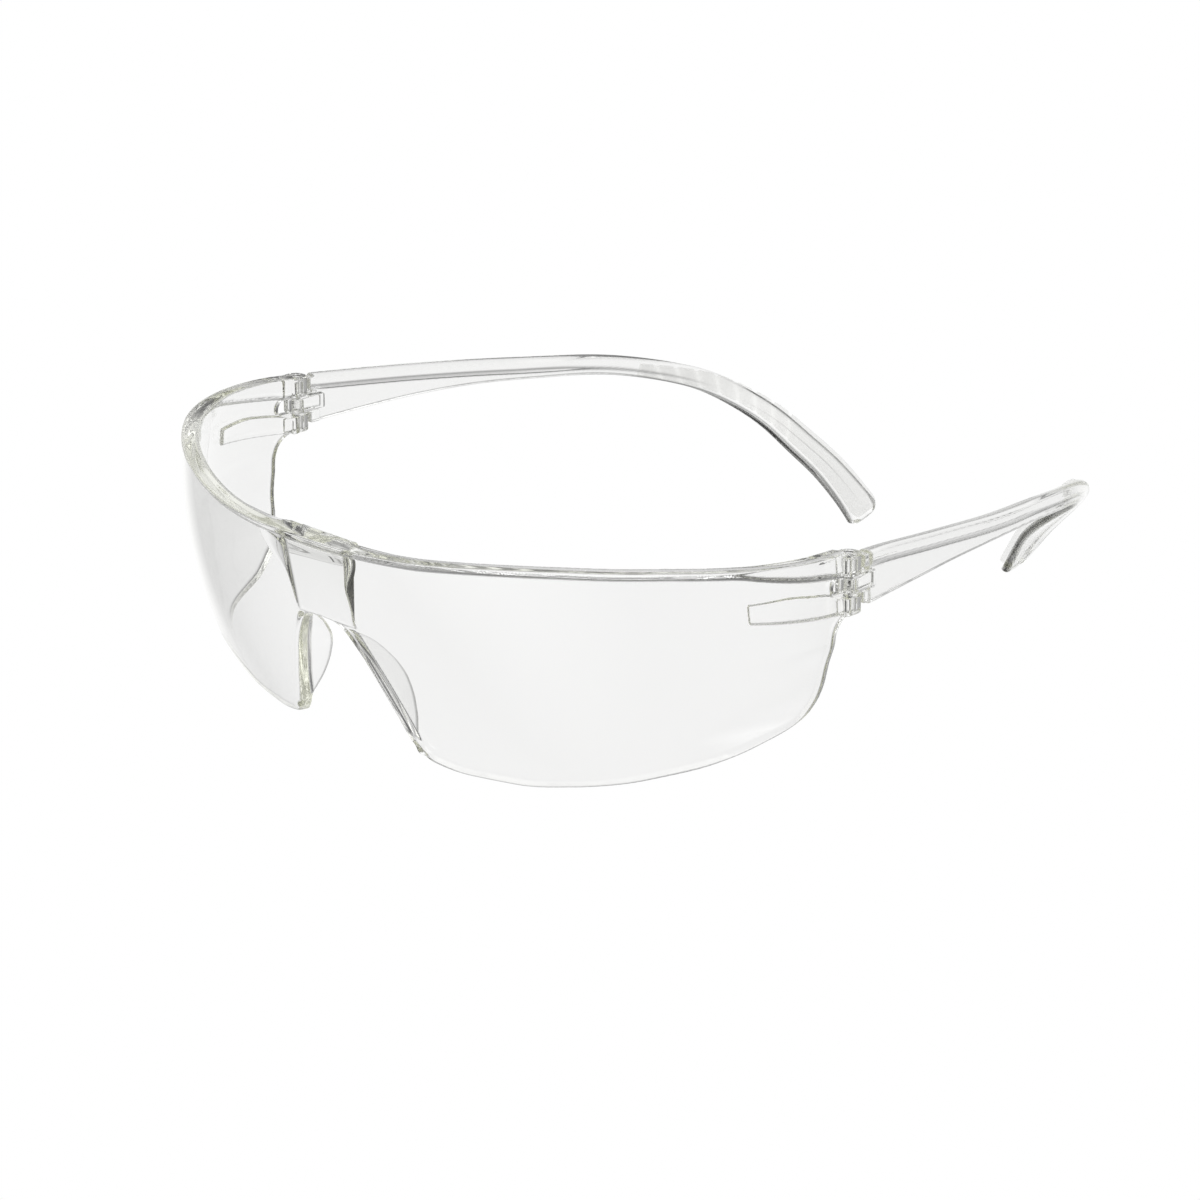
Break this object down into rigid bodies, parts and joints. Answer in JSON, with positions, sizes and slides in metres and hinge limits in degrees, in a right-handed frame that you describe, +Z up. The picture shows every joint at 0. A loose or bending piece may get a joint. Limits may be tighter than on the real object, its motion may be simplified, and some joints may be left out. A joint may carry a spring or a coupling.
{
  "type": "safety glasses",
  "caption": "Clear wrap-around safety glasses: one-piece lens shield with moulded brow bar, bridge and nose flanges, and two folding temples on hinge pins with soft ribbed grips.",
  "frame": {"origin": "centre of the overall box of the open glasses, on the plane they stand on", "axes": "+Y runs back along the temples (the wearer looks along -Y), +X is the wearer's left, +Z is up"},
  "size_m": [0.1446, 0.1654, 0.0427],
  "materials": {
    "lens": "clear moulded polycarbonate, polished, faint warm tint in thick sections",
    "temple": "clear moulded polycarbonate, polished",
    "pin": "clear plastic pin",
    "grip": "soft matt translucent elastomer with shallow ribs"
  },
  "bodies": {
    "front": {"lens_shield": "lens", "hinge_pin_left": "pin", "hinge_pin_right": "pin"},
    "temple_left_body": {"temple_left": "temple", "temple_grip_left": "grip"},
    "temple_right_body": {"temple_right": "temple", "temple_grip_right": "grip"}
  },
  "joints": [
    {"name": "temple_left_fold", "type": "hinge", "parent": "front", "child": "temple_left_body", "pos_m": [0.07, -0.02152, 0.0351], "axis": [0, 0, 1], "range_deg": [0, 78]},
    {"name": "temple_right_fold", "type": "hinge", "parent": "front", "child": "temple_right_body", "pos_m": [-0.07, -0.02152, 0.0351], "axis": [0, 0, -1], "range_deg": [0, 70]}
  ]
}
